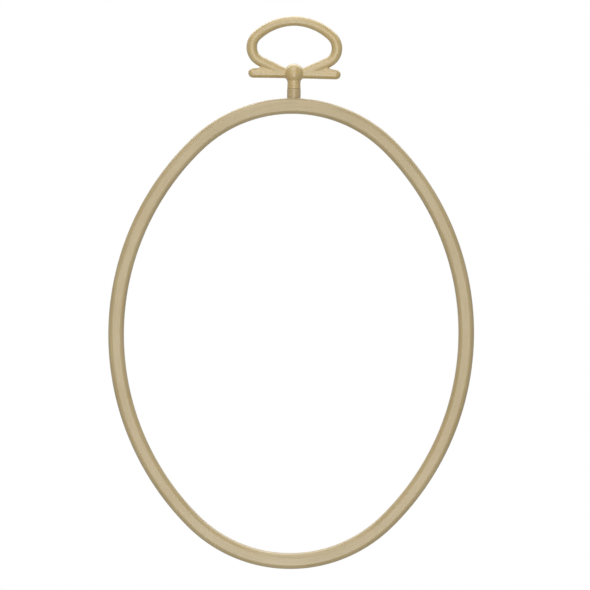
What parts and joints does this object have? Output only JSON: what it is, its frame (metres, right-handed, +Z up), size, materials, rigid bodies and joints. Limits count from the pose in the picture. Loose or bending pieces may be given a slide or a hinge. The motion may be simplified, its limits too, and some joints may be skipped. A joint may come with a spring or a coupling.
{
  "type": "embroidery hoop",
  "caption": "Oval screwless embroidery hoop: a flexible outer ring snaps over a rigid inner ring, and a moulded loop on a ball and crossbar hangs it on a wall.",
  "frame": {"origin": "where a nail or hook carries the hoop, inside the top of the hanger's loop, at the middle of the hoop's depth", "axes": "+Z up along the hanger's stem, -Y out of the face of the hoop, +Y towards the wall, +X to the right seen from in front"},
  "size_m": [0.14, 0.0094, 0.2117],
  "materials": {
    "ring_vinyl": "satin beige vinyl",
    "inner_plastic": "satin beige plastic",
    "hanger_plastic": "satin beige plastic with a soft sheen"
  },
  "bodies": {
    "hanger": {"hanger": "hanger_plastic"},
    "outer_ring": {"outer_ring": "ring_vinyl"},
    "inner_ring": {"inner_ring": "inner_plastic"}
  },
  "joints": [
    {"name": "hanger_swivel", "type": "hinge", "parent": "hanger", "child": "outer_ring", "pos_m": [0, 0, -0.02545], "axis": [0, 0, 1], "continuous": true},
    {"name": "inner_ring_slide", "type": "slide", "parent": "outer_ring", "child": "inner_ring", "axis": [0, 1, 0], "range_m": [0, 0.02]}
  ]
}
